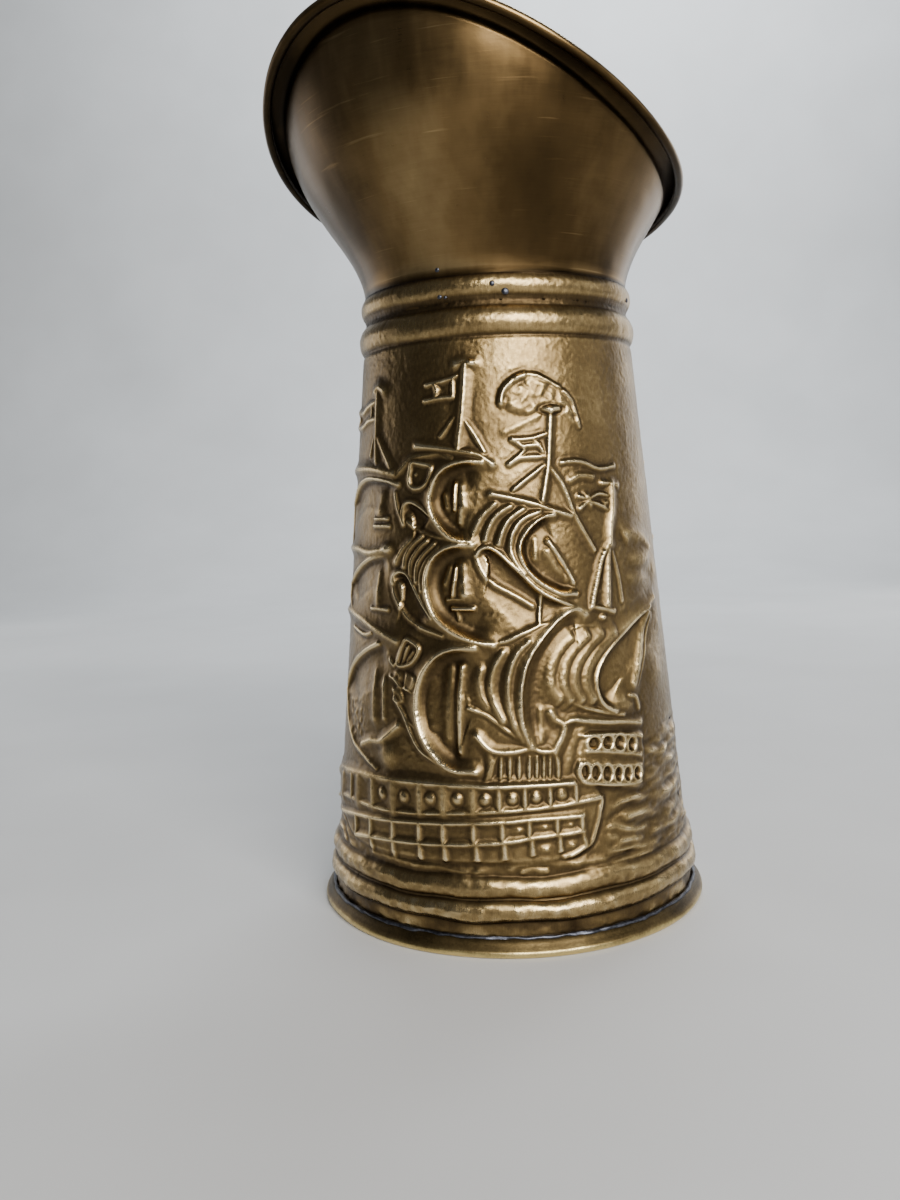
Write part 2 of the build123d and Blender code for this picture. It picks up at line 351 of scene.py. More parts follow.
def fore_sails():
    """Three sails of the left mast, seen nearly edge on, with their yards and inner spars."""
    tops = [
        [(-112, 222), (-100, 223), (-75, 222.6), (-55, 219.6)],
        [(-120, 183), (-106, 183.5), (-90, 183.6), (-78, 182.2), (-70, 182.6), (-60, 184.2)],
        [(-118, 151), (-104, 152.5), (-90, 150.6), (-80, 148.6), (-70, 145.6), (-55, 141)],
    ]
    for points in tops:
        ridge(points, 3.2, 1.6)
    boss(-59.5, 184.2, 3.4, 2.3, 1.2)
    rims([
        (2.0, 1.2, [(-108, 205), (-95, 213), (-80, 217.5), (-66, 217), (-52, 214.5)]),
        (1.8, 1.0, [(-105, 166), (-98, 170), (-90, 173.6), (-81, 177.4), (-68, 181.2)]),
        (1.8, 1.0, [(-108, 112), (-104, 120), (-94, 127.6), (-82, 133.6), (-69, 138.8)]),
        (2.0, 1.2, [(-105, 166), (-104, 157), (-92, 149.8)]),
        (2.2, 1.2, [(-108, 112), (-103, 97.5), (-94, 88.5), (-82, 83.6), (-71, 79)]),
        (1.6, 1.0, [(-96, 144.8), (-82, 142.2), (-74, 143.4)]),
        (1.6, 1.0, [(-108, 205), (-112, 195), (-106, 185)]),
    ])
    hollow([(-52, 214.5), (-66, 217), (-80, 217.5), (-95, 213), (-108, 205)], 1.8, 4)
    hollow([(-60, 181), (-81, 177.4), (-98, 170), (-105, 163)], 1.8, 4)
    hollow([(-62, 140), (-82, 133.6), (-98, 125), (-108, 113)], 2.0, 5)
    spars = [(-65, 209, 202, 5.0), (-68, 172, 158, 3.6), (-72, 124, 103, 3.4), (-64.5, 122, 104, 2.0)]
    for x, top, bottom, width in spars:
        ridge([(x, top), (x - 0.5, bottom)], width, 1.0, groove=0.2)
    for x0, x1, y in ((-70, -60, 198.4), (-71, -59, 195), (-74, -61, 155.4)):
        ridge([(x0, y), (x1, y)], 1.6, 1.2)
    ridge([(-55, 217), (-48.5, 222.6), (-43, 226), (-35, 227.3), (-28, 227.6), (-22, 224.5)], 2.2, 0.8)
    ridge([(-54.5, 210.5), (-52.3, 202.5), (-49.3, 195.5)], 1.5, 0.9)


def upper_main_sail():
    """Top sail of the main mast, with the plain shield beside it and the loop of slack cloth below."""
    rim = [(-8, 222.8), (-16, 222.7), (-23, 221.2), (-28.2, 217.6), (-31.6, 212), (-33, 206), (-32, 200.6),
           (-29, 195.4), (-25, 191.2), (-20, 188.2), (-14.5, 186.8)]
    ridge(rim, 2.6, 1.9)
    hollow(rim, 2.0, 3.6)
    bank(rim, 1.0, 4, sense=-1)
    ridge([(-40, 231.7), (-30, 230.2), (-20, 228.6), (-10, 226.2), (-3.5, 221.6)], 2.2, 1.5)
    ridge([(-21, 213.2), (-21.5, 207), (-21.6, 201.6)], 1.4, 1.5)
    ridge([(-18.3, 212), (-17.3, 203)], 2.6, 0.9, groove=0.2)
    ridge([(-18.6, 202), (-19.2, 195.8)], 2.3, 1.3)
    ridge([(-27, 208), (-25.8, 203)], 2.0, 0.7, groove=0.2)
    shield = [(-43, 224), (-38, 223.4), (-32.6, 221.8), (-33.4, 217.5), (-35.6, 214), (-39, 212.2),
              (-43, 212.4), (-45, 215), (-44.6, 220)]
    ridge(shield, 1.6, 1.2, closed=True)
    boss(-41.2, 218.6, 0.9, 0.9, 0.6)
    ridge([(-49.4, 196), (-49.8, 201), (-48.2, 205), (-44.5, 206), (-39, 203.4), (-33, 198.8)], 1.5, 1.0)
    ridge([(-47, 196.8), (-42, 193.6), (-34, 190.4), (-27, 189)], 1.3, 0.6)
    hollow([(-33, 198), (-40, 203), (-46, 205), (-49, 201)], 1.6, 4)


def middle_main_sail():
    """Second sail of the main mast, with five pleats and a loop on its left."""
    rim = [(-14, 185.6), (-22, 184.6), (-28, 182.4), (-33, 177.8), (-35.7, 171.4), (-35.8, 165), (-34, 158),
           (-31, 152.8), (-27, 149.2), (-21, 145.6), (-14, 142.6), (-5.5, 140.2)]
    ridge(rim, 3.0, 2.0)
    hollow(rim, 2.2, 4.2)
    bank(rim, 1.2, 6, sense=-1)
    rims([
        (2.2, 1.3, [(-39, 165), (-38.9, 172), (-35.2, 179), (-29.5, 184.4)]),
        (2.2, 1.3, [(-41.8, 169), (-41.3, 176), (-37.4, 181.6), (-32, 186)]),
        (2.2, 1.3, [(-45.3, 172), (-44.8, 178), (-40.6, 183.8), (-36, 187.6)]),
        (2.2, 1.2, [(-49.2, 175.5), (-47.8, 181), (-43.7, 186), (-38.8, 189.4)]),
        (2.2, 1.1, [(-54.5, 178), (-50.5, 183.2), (-45, 188)]),
    ])
    loop = [(-57, 168), (-56, 171.4), (-53, 173.2), (-49, 172.8), (-46, 170), (-42, 163.4), (-38, 157.2),
            (-34, 152.4)]
    ridge(loop, 1.9, 1.3)
    ridge([(-57, 168), (-56, 163), (-53, 157.4), (-48.5, 152), (-40, 147.6), (-29, 144.4)], 1.6, 0.8)
    hollow(loop, 1.8, 5, sense=-1)
    ridge([(-21.9, 175.4), (-23, 168.5), (-24.1, 162.8)], 1.4, 1.5)
    ridge([(-19.2, 176), (-18.4, 170), (-18, 163)], 3.0, 1.1, groove=0.2)
    ridge([(-25.2, 175), (-28, 168)], 2.0, 0.6, groove=0.1)
    ridge([(-27.4, 160.6), (-23, 161), (-18, 160.6)], 1.2, 0.6, groove=0.2)
    ridge([(-24.5, 156.3), (-14, 156.6)], 1.5, 1.5)
    ridge([(-22.2, 155), (-21.6, 151.2)], 1.6, 0.8)
    roughen([(-16, 166), (-4, 161), (6, 155), (2, 150), (-12, 149), (-16, 155)], 0.06, 0.8, 3.0, seed=12)
    ridge([(-6, 140.4), (0, 141.8), (7, 144.8), (15.5, 148.2)], 1.9, 1.2)


def lower_main_sail():
    """Big lowest sail of the main mast: a broad rolled rim and two spars inside it."""
    rim = [(-14, 139), (-24, 137.8), (-31, 135), (-36.4, 130), (-40.2, 124), (-42.6, 116), (-42.8, 108),
           (-41.2, 101), (-38.4, 95.4), (-34, 90), (-29.5, 86), (-24, 83.5), (-15.5, 82.8)]
    ridge(rim, 3.2, 2.0)
    inner = [(-33, 128), (-36, 121), (-37.2, 113), (-36.8, 105), (-34.5, 97)]
    ridge(inner, 5.0, 1.0, groove=0.2, fade=0.2)
    hollow(rim, 2.4, 6.5)
    bank(rim, 1.0, 5, sense=-1)
    ridge([(-20.6, 130), (-21.8, 118), (-22.4, 104), (-22.8, 91.5)], 2.3, 1.8)
    ridge([(-26.2, 128.5), (-27.6, 114), (-28.2, 98)], 3.4, 1.0, groove=0.3)
    roughen([(-19, 121), (-15, 119), (-15, 110), (-19, 110)], 0.12, 0.5, 1.5, seed=13)


def third_mast_sails():
    """Pleated top sail and tall lower sail of the third mast, with the spars between them."""
    ridge([(-4.2, 208.2), (5, 206), (15, 203.2), (24, 199.8), (32.5, 197.2)], 2.1, 1.5)
    rim = [(24, 198), (19, 196.7), (14, 193.4), (10.2, 189), (8.1, 184), (8.6, 179), (11, 174), (15, 169.4),
           (20, 165.8), (26, 162.8), (33.5, 161.6)]
    ridge(rim, 2.1, 1.9)
    hollow(rim, 1.9, 3.6)
    rims([
        (2.0, 1.5, [(17, 199.6), (9.4, 196.6), (5.2, 191.4), (3.6, 186), (3.8, 181.4), (6.2, 176),
                    (9.4, 171.6)]),
        (2.1, 1.4, [(9.5, 201), (3.2, 196.4), (0, 191), (-1.8, 185.6)]),
        (2.1, 1.3, [(4, 202.4), (-2, 198.8), (-5.8, 193.4), (-7.8, 187.6)]),
        (2.0, 1.0, [(-3, 203.6), (-8.6, 198.6), (-12.2, 192.6), (-13.8, 187), (-12.4, 181.6)]),
    ])
    bank(rim, 1.4, 8, sense=-1)
    loop = [(-12, 180.8), (-10, 183.4), (-6, 184), (-2, 181.6), (3, 176.6), (9, 170.6), (15, 164.6),
            (22, 160), (31, 156.2)]
    ridge(loop, 1.8, 1.6)
    ridge([(-12, 180.8), (-11, 176.6), (-8, 171.2), (-3.6, 167), (2, 163.8), (8, 160.2), (13, 157)], 1.9, 1.2)
    hollow(loop, 2.0, 5, sense=-1)
    ridge([(15, 187), (14.8, 178.5)], 2.4, 0.9, groove=0.2)
    ridge([(21, 186.2), (25.4, 179.2), (30, 171.6), (32.6, 166.6)], 1.7, 1.6)
    ridge([(20, 181), (25, 173.8), (29.6, 168.4)], 2.6, 0.9, groove=0.2)
    ridge([(16.7, 161.6), (16, 155), (15.6, 148.4)], 1.4, 1.3)
    ridge([(16.5, 149.6), (22, 153), (30.5, 155.4)], 1.3, 0.7)
    rim = [(37.5, 152.2), (33, 154), (28, 152.4), (22.6, 148.2), (18, 143.4), (13, 137), (9.4, 130),
           (7.4, 122), (6.6, 114), (7, 106), (8.4, 99.4), (10.2, 94)]
    ridge(rim, 4.2, 2.1)
    ridge([(15.6, 148.4), (20, 149.2), (27, 151.4)], 1.6, 1.3)
    hollow(rim, 1.1, 5)
    bank(rim, 1.3, 9, sense=-1)
    rims([
        (2.6, 1.5, [(10.5, 141.4), (4.4, 135.4), (1.4, 128), (0.3, 120), (0.8, 112), (3, 104), (7, 96.5)]),
        (2.6, 1.4, [(-1.6, 136.6), (-5.6, 130), (-7.4, 122), (-6, 114), (-2, 106)]),
        (2.6, 1.0, [(-11.4, 129), (-12.6, 123.5), (-11.6, 117), (-8.8, 112)]),
        (1.4, 0.8, [(-18, 111.6), (-10, 108.6), (-3, 103.4), (4, 98), (8.6, 94.6)]),
        (1.4, 0.6, [(-8, 110), (-1, 105.4), (6, 98)]),
    ])


def lateen_sail():
    """Three-cornered sail at the stern: four barrel folds, a curled edge and a long round spar."""
    yard = [(90, 155), (80, 151.2), (70, 147.4), (60, 143), (51, 139.4)]
    ridge(yard, 3.4, 1.3)
    rim = [(84, 151.4), (72, 147), (62, 142), (54, 137), (47.4, 131), (43.8, 125), (43, 119), (44.6, 113),
           (48, 108.4), (53, 105.6)]
    ridge(rim, 2.1, 1.8)
    hollow(rim, 2.0, 4.5)
    left = np.array([(34, 144), (25, 137), (20.5, 128), (21, 119), (27, 112)])
    right = np.array([(66, 144.5), (54, 137), (45, 129), (43, 119), (48.5, 108.4)])
    for share in (0.0, 0.25, 0.5, 0.75):
        ridge(left + (right - left) * share, 5.4, 1.9, groove=0.0, fade=0.1)
    ridge([(26, 144), (36, 146.6), (45, 145.6), (50, 144.4)], 1.6, 0.7)
    ridge([(81, 148.6), (75, 137.4), (68, 121.6), (66, 117)], 3.7, 2.0)
    ridge([(87, 154), (83.4, 145), (78.4, 134), (72.6, 122), (69, 115.6)], 1.4, 1.1)
    roughen([(83, 149), (79, 150), (66, 122), (67, 118), (71, 121)], 0.05, 0.6, 1.0, seed=14)
    boss(59, 108.4, 8, 4.4, 1.3)
    ridge([(63, 112), (67, 110.4), (69.6, 105)], 1.6, 1.0)
    ridge([(19.5, 115.2), (28, 113), (36, 109.6), (44, 107), (52, 104.6), (58, 103.4)], 1.6, 1.2)
    roughen([(13, 127), (19, 130), (22, 126), (16, 114), (12, 116)], 0.07, 0.5, 2.0, seed=15)


def tackle():
    """Blocks and rope between the foremast sails and the big mainsail, and the knob at the bow."""
    ridge([(-55, 130.2), (-50.4, 140.8), (-47.2, 141.6), (-42, 137.6), (-46.8, 131)], 1.5, 1.1, closed=True)
    ridge([(-51.6, 131), (-48.4, 138.6)], 1.1, 0.8)
    raise_area([(-49.6, 126.4), (-43, 124.8), (-45.6, 119.2), (-51, 119.4)], 1.1, 0.8)
    raise_area([(-58.6, 118.4), (-53.4, 118.8), (-51.8, 112.4), (-57, 112.8)], 1.0, 0.8)
    boss(-54.6, 124.6, 2.8, 2.8, 1.3)
    boss(-54.6, 124.6, 1.1, 1.1, -0.7)
    ridge([(-48.5, 132), (-44.6, 136.6)], 1.2, 0.8)
    ridge([(-60, 131.6), (-57.4, 129.4), (-54.6, 131)], 1.3, 0.9)
    ridge([(-60.2, 124), (-57, 122.8), (-53, 119.6), (-46, 117.6)], 1.3, 0.9)
    ridge([(-57, 113.6), (-52, 107), (-47.4, 98.4), (-43.2, 92), (-37, 88), (-30.6, 84.8)], 1.6, 1.1)
    ridge([(-54, 109), (-49, 104.4), (-44.6, 101)], 1.2, 0.7)
    boss(-62, 87.6, 6.2, 7.6, 2.4)
    ridge([(-84, 88.8), (-76, 91.6), (-68, 92.6), (-61, 97), (-55.6, 101)], 2.4, 1.3)
    roughen([(-104, 108), (-86, 108), (-84, 92), (-98, 92)], 0.16, 0.8, 4.0, seed=16)


# ------------------------------------------------------------------------- the hull and the sea

GUNWALE = [(-130, 66.5), (-120, 70), (-110, 72), (-95, 73.8), (-80, 75.4), (-65, 76.2), (-50, 76.8),
           (-35, 77.2), (-20, 77.2), (-8, 76.8), (6, 77), (29, 76.8)]
RAIL_1 = [(-124, 54.5), (-110, 58.4), (-95, 60.6), (-75, 60.8), (-60, 61.2), (-45, 62.2), (-30, 63.5),
          (-15, 64.6), (0, 65.4), (14, 66.2), (42, 68)]
RAIL_2 = [(-112, 50.4), (-100, 52), (-88, 53.8), (-75, 55.2), (-60, 56.6), (-45, 57.9), (-30, 59),
          (-15, 59.9), (0, 60.6), (12, 61.3), (33, 61)]
RAIL_3 = [(-89, 44), (-75, 46), (-60, 47.4), (-45, 48.4), (-30, 49.4), (-15, 50.4), (0, 51.6), (12, 53.2),
          (33, 54)]


def height_on(rail, x):
    """Height of a rail at this x."""
    return float(np.interp(x, *np.array(rail).T))


def hull():
    """Planked side with three rows of ports between rails and posts, and round bosses in the top row."""
    outline = [(-132, 66), (-118, 69), (-95, 73), (-60, 76), (-20, 77), (30, 76.5), (44, 68), (42.4, 60),
               (40.6, 54), (37.6, 47.5), (32, 44.4), (24, 42.4), (-20, 41.6), (-60, 41), (-90, 42),
               (-104, 48), (-120, 56)]
    raise_area(outline, 1.1, 1.3)
    ridge(GUNWALE, 2.5, 1.6)
    ridge(RAIL_1, 1.8, 1.0)
    ridge(RAIL_2, 1.9, 1.2)
    ridge(RAIL_3, 1.9, 1.2)
    top_posts = [(-108, 5), (-94, 2.6), (-86.5, 5), (-73, 3), (-58.5, 4), (-43, 3), (-31, 3.4), (-17, 3),
                 (-5, 2), (6.5, 1.7), (17.8, 1.7), (30, 1.7)]
    for x, width in top_posts:
        ridge([(x, height_on(GUNWALE, x) - 0.5), (x, height_on(RAIL_1, x) + 0.5)], width, 1.1, groove=0.3)
    for x in (-66, -52, -37.5, -24.2, -11.4, 1, 11.6, 23.4):
        middle = (height_on(GUNWALE, x) + height_on(RAIL_1, x)) / 2
        boss(x, middle - 0.4, 2.6, 2.9, 1.1, ring=0.35)
    for x in (-88.5, -75, -59.2, -43.8, -31.4, -17, -4, 8, 20.6, 32.4):
        ridge([(x, height_on(RAIL_2, x)), (x, height_on(RAIL_3, x))], 1.9, 1.2, groove=0.3)
    for x in (-74.4, -59.2, -43.6, -31, -16, -3.4, 9, 21.6):
        ridge([(x, height_on(RAIL_3, x)), (x + 0.4, height_on(RAIL_3, x) - 8.6)], 1.9, 1.1, fade=0.12)
    ridge([(32.6, 61), (33, 53), (33.6, 47), (27, 43.6)], 1.9, 0.9)
    ridge([(-89, 53.8), (-88.4, 48), (-89, 43.6)], 1.9, 1.1)
    for x, y in ((14.8, 57.4), (26.6, 57.6), (3, 56.8), (15, 47.6), (27.4, 48)):
        boss(x, y, 3.4, 2.2, 0.5)
        boss(x + 0.6, y, 1.0, 0.8, 0.4)
    ridge([(43.6, 68.4), (42.4, 60), (40.6, 54), (37.6, 48), (31.5, 44.6), (24, 42.8)], 1.6, 0.5, groove=0.6)


def deck():
    """Balustrade amidships, and the stern castle with its windows and gallery."""
    ridge([(-14, 99), (-10.4, 94.6), (-6, 92), (2, 91.8), (10, 93), (14.6, 91.6), (20.4, 91)], 2.4, 1.7)
    ridge([(-9.4, 94), (-8.2, 88), (-10.4, 79.4)], 2.3, 1.1)
    ridge([(-5.4, 90.6), (-7.2, 86), (-8.8, 80)], 1.4, 1.0)
    ridge([(-9, 79), (-4, 80.6), (2, 80)], 1.2, 0.6)
    for x in (-3.6, 0.4, 4.6, 9.2, 12.6, 15.8, 18.6):
        ridge([(x, 89.4), (x - 0.4, 79)], 1.3, 1.0, groove=0.5)
    ridge([(20.8, 91), (22.2, 86), (22, 78.6)], 2.0, 1.2)
    ridge([(19.4, 109), (21.6, 105.6), (25.4, 102.6), (24.6, 98), (22.6, 94.6), (20.8, 91)], 3.0, 1.8)
    ridge([(25, 102.8), (30, 104.6), (36, 103.6), (46, 101.8), (58, 100.2), (69.5, 98.2)], 2.2, 1.6)
    ridge([(26, 80), (28.6, 90), (32, 96.4), (35.6, 99.6)], 3.4, 0.5, groove=0.2)
    ridge([(15, 110), (14.4, 96)], 3.0, 0.9, groove=0.3)
    castle = [(31, 84), (35.5, 97), (46, 96.8), (58, 95), (70, 92.6), (69, 71), (57, 70.4), (44, 72.6),
              (33, 76)]
    raise_area(castle, 0.9, 1.2)
    windows = [(40.2, 92.9, 2.6, 2.3), (47.4, 92.4, 2.4, 2.6), (54.4, 91.2, 2.7, 3.0), (62, 89.2, 2.1, 2.8)]
    arches = [(35.2, 80.6, 1.7, 2.7), (40.4, 79.6, 1.8, 2.9), (46.6, 78.3, 2.1, 3.0), (53, 77, 1.9, 2.9),
              (58.6, 76.1, 1.8, 2.8), (65, 75.4, 1.9, 2.6)]
    for x, y, rx, ry in windows + arches:
        eighths = np.arange(8) * math.pi / 4
        corners = [(x + (rx + 1) * math.cos(t), y + (ry + 1) * math.sin(t)) for t in eighths]
        ridge(corners, 1.7, 1.1, groove=0.0, closed=True)
        boss(x, y, rx, ry, -1.5)
    ridge([(33, 97), (40, 96.6), (48, 96.2), (58, 94.4), (70, 91.8)], 1.5, 1.0, groove=0.3)
    ridge([(36.4, 89.6), (45, 88.6), (57, 86), (68, 83.4)], 1.5, 1.0, groove=0.3)
    ridge([(33, 84.6), (45, 82.2), (57, 80.2), (68, 78.6)], 1.4, 0.9, groove=0.3)
    ridge([(31.4, 82), (32.2, 77.6), (38, 75.2), (46, 73.4), (58, 71.4), (67, 71.2)], 1.8, 1.2)
    ridge([(31.4, 82), (33, 84.6)], 1.6, 1.0)


def sea():
    """Choppy water beside and under the hull, and the wave that curls up at the bow."""
    beside = [(45, 44), (48, 60), (70, 70), (71, 88), (90, 92), (117, 90), (120, 40), (90, 37), (50, 37)]
    before = [(-150, 40), (-150, 84), (-128, 80), (-124, 58), (-106, 45), (-96, 38), (-120, 37)]
    for outline, seed in ((beside, 17), (before, 18)):
        roughen(outline, 0.42, (1.5, 5.0), 3.0, seed)
        roughen(outline, 0.22, (0.9, 2.3), 3.0, seed + 10)
    for row in range(7):
        base = 44 + 6.4 * row
        start = (46 if base < 70 else 72) + 4 * (row % 3)
        wave = [(x, base + 1.5 * math.sin(0.13 * x + 1.9 * row)) for x in np.arange(start, start + 26, 5.0)]
        ridge(wave, 2.2, 0.8, groove=0.3, fade=0.3)
    for points in (
        [(-128, 46), (-118, 48.4), (-110, 46.6), (-103, 41.6), (-97, 37.4), (-88, 36.6)],
        [(-126, 41), (-116, 42), (-108, 39), (-101, 35.8)],
        [(-84, 38.2), (-66, 39.2), (-50, 38), (-36, 38.4), (-20, 37.2), (-6, 38.8)],
        [(-8, 37), (2, 40), (14, 41), (28, 39.8), (42, 39.4), (58, 41.4), (74, 40)],
        [(2, 37), (9, 38.6), (18, 37)],
        [(30, 36.6), (46, 36.4), (62, 37.4), (80, 36)],
    ):
        ridge(points, 2.4, 0.7, groove=0.3, fade=0.15)


def draw_ship():
    """Every feature of the panel."""
    for feature in (fore_sails, upper_main_sail, middle_main_sail, lower_main_sail, third_mast_sails,
                    lateen_sail, fore_mast, main_mast, third_mast, mizzen_mast, sky, tackle, hull, deck, sea):
        feature()


def bead_profile(height):
    """How far the rolled beads stand out at this height: arcs, as in the CAD."""
    out = np.zeros_like(height)
    for crest, half, proud in BEADS:
        radius = (half ** 2 + proud ** 2) / (2 * proud)
        reach = np.clip(radius ** 2 - (height - crest) ** 2, 0, None)
        out = np.maximum(out, np.sqrt(reach) - radius + proud)
    return out


def body_surface(seed):
    """Height above the taper, over one whole panel: beads, relief and the unevenness of hand work."""
    wander = noise(X.shape, 9.0, SPACING, seed) * 0.35
    low = Y < 40
    beads = bead_profile(Y + np.where(low, wander * 1.5, wander * 0.5))
    dents = noise(X.shape, 1.6, SPACING, seed + 1) * 0.1 + noise(X.shape, 4.0, SPACING, seed + 2) * 0.12
    plain = beads + dents * np.where(low, 1.2, 0.3)
    coves = 0.7 * np.exp(-((Y - NECK_COVE) / 2.0) ** 2) + 0.4 * np.exp(-((Y - LOWER_COVE) / 1.0) ** 2)
    plain -= coves + 0.35 * ease((Y - NECK_TOP + 0.9) / 0.9)
    relief = crests - chased * np.clip(1 - crests / 0.6, 0, 1) + swell
    ends = ease((angles - PANEL_START) / 4) * ease((PANEL_END - angles) / 4)
    relief = smooth(relief, 0.32, SPACING) * ends[None, :]
    relief = relief * ease((Y - RELIEF_BOTTOM) / 3) * ease((RELIEF_TOP - Y) / 3)
    height = plain + relief + 0.03 * noise(X.shape, 0.6, SPACING, seed + 3)
    edge = np.minimum(X - X[:, :1], X[:, -1:] - X)
    return height - 0.45 * ease(1 - edge / 0.9)


def place(height, columns, rows):
    """Points of the body at this height above the taper, in mm."""
    turn = np.radians(angles[columns] + ZERO_MERIDIAN)[None, :]
    radius = taper_radius[rows][:, None] + height
    return np.stack([radius * np.cos(turn), radius * np.sin(turn), np.broadcast_to(Y[rows][:, columns],
                    radius.shape)], -1)


def outward(points):
    """Unit normals of a grid of points whose columns run anticlockwise and whose rows run up."""
    normals = np.cross(np.gradient(points, axis=1), np.gradient(points, axis=0))
    return normals / np.linalg.norm(normals, axis=-1, keepdims=True)


def zipper(fine, coarse):
    """Triangles that join a fine row of points to one with fewer points, INNER_STEP times coarser."""
    n = np.arange(len(fine) - 1)
    fan = np.stack([fine[n], coarse[(n + INNER_STEP // 2) // INNER_STEP], fine[n + 1]], -1)
    m = np.arange(len(coarse) - 1)
    turn = np.stack([fine[m * INNER_STEP + INNER_STEP // 2], coarse[m], coarse[m + 1]], -1)
    return np.concatenate([fan, turn])


def make_panel(node, half_turn, seed):
    """One stamped panel in strips: the fine outer face, a coarser inner face, and closed edges."""
    height = body_surface(seed)
    fine = smooth(height, 1.1, SPACING)
    broad = smooth(height, 3.5, SPACING)
    detail = height - fine
    wear_and_painted_light = detail * np.where(detail > 0, 1.6, 0.9) + (height - broad) * 0.16
    wear_and_painted_light -= 0.5 * ease((Y - NECK_TOP + 1.4) / 1.2) + 0.3 * np.exp(-((Y - NECK_COVE) / 2.2) ** 2)
    wear_and_painted_light += ease((FOOT_STRIP_TOP - Y) / 3) * (0.2 * noise(Y.shape, 4.0, SPACING, seed + 9) - 0.06)
    whole = place(height, np.arange(COLUMNS + 1), np.arange(ROWS + 1))
    whole_normals = outward(whole)
    for strip in range(STRIPS):
        first = strip * COLUMNS // STRIPS
        columns = np.arange(first, first + COLUMNS // STRIPS + 1)
        outer = whole[:, columns]
        near_columns, near_rows = columns[::INNER_STEP], np.arange(0, ROWS + 1, INNER_STEP)
        inner = place(fine[np.ix_(near_rows, near_columns)] - SHEET, near_columns, near_rows)
        r, c = outer.shape[:2]
        ri, ci = inner.shape[:2]
        numbers = np.arange(r * c).reshape(r, c)
        inner_numbers = r * c + np.arange(ri * ci).reshape(ri, ci)
        faces = [grid_faces(r, c), grid_faces(ri, ci, r * c)[:, ::-1]]
        edges = [
            zipper(numbers[0, ::-1], inner_numbers[0, ::-1]),
            zipper(numbers[-1], inner_numbers[-1]),
            zipper(numbers[:, 0], inner_numbers[:, 0]),
            zipper(numbers[::-1, -1], inner_numbers[::-1, -1]),
        ]
        faces.append(np.concatenate(edges)[:, ::-1])
        points = np.concatenate([outer.reshape(-1, 3), inner.reshape(-1, 3)])
        normals = np.concatenate([whole_normals[:, columns].reshape(-1, 3), -outward(inner).reshape(-1, 3)])
        if half_turn:
            points[:, :2] *= -1
            normals[:, :2] *= -1
        flat = np.stack([X[:, columns], Y[:, columns]], -1).reshape(-1, 2)
        flat_inner = np.stack([X[np.ix_(near_rows, near_columns)], Y[np.ix_(near_rows, near_columns)]], -1)
        uv = np.concatenate([flat, flat_inner.reshape(-1, 2)]) / 10
        paint = np.concatenate([wear_and_painted_light[:, columns].ravel(), np.full(ri * ci, -0.35)])
        piece = make_piece(f"{node}_{strip + 1}", points, faces, uv,
                           {"wear_and_painted_light": paint}, normals)
        piece.data.materials.append(embossed_brass)
        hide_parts(node)


# ------------------------------------------------------------------------------ collar and foot

# The CAD collar has no FULLNESS, and its lip turns out over 0.55 of its reach, not LIP_RISE. So the
# flare drawn here stands up to 5 mm outside the CAD solid on the spout's side.
SPIGOT_RADIUS = FOOT_RADIUS - TAPER * NECK_BOTTOM - SHEET - 0.05
SPIGOT_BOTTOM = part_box("mouth_collar")[0][2] / MM
SEAM_HEIGHT = NECK_TOP + 0.2
FLARE, FLARE_HEIGHT, FLARE_POWER = 37.0, 51.2, 1.7
MOUTH_MEAN, MOUTH_SWOOP = 367.1, (36.2, 8.7, 4.2)
LIP_MEAN, LIP_SWING, LIP_RISE = 10.1, 5.2, 0.42
CURL_RADIUS, CURL_WRAP = 2.15, 220.0
COLLAR_TURNS = 560
COLLAR_RADIUS = 85.0             # middling, for the pattern's coordinates
FULLNESS = 5.0                   # how much fuller the flare is on the spout's side
PAINTED_LIGHT_AT = 5.0                  # angle from the spout to the painted highlight on the collar
SPIGOT_ROWS, FLARE_ROWS, LIP_ROWS, CURL_ROWS = 5, 50, 12, 19


def flare_radius(rise):
    """Outside radius of the collar at this rise above the neck seam: an S-shaped flare."""
    return SPIGOT_RADIUS + FLARE * (1 - np.exp(-(np.maximum(rise, 0) / FLARE_HEIGHT) ** FLARE_POWER))


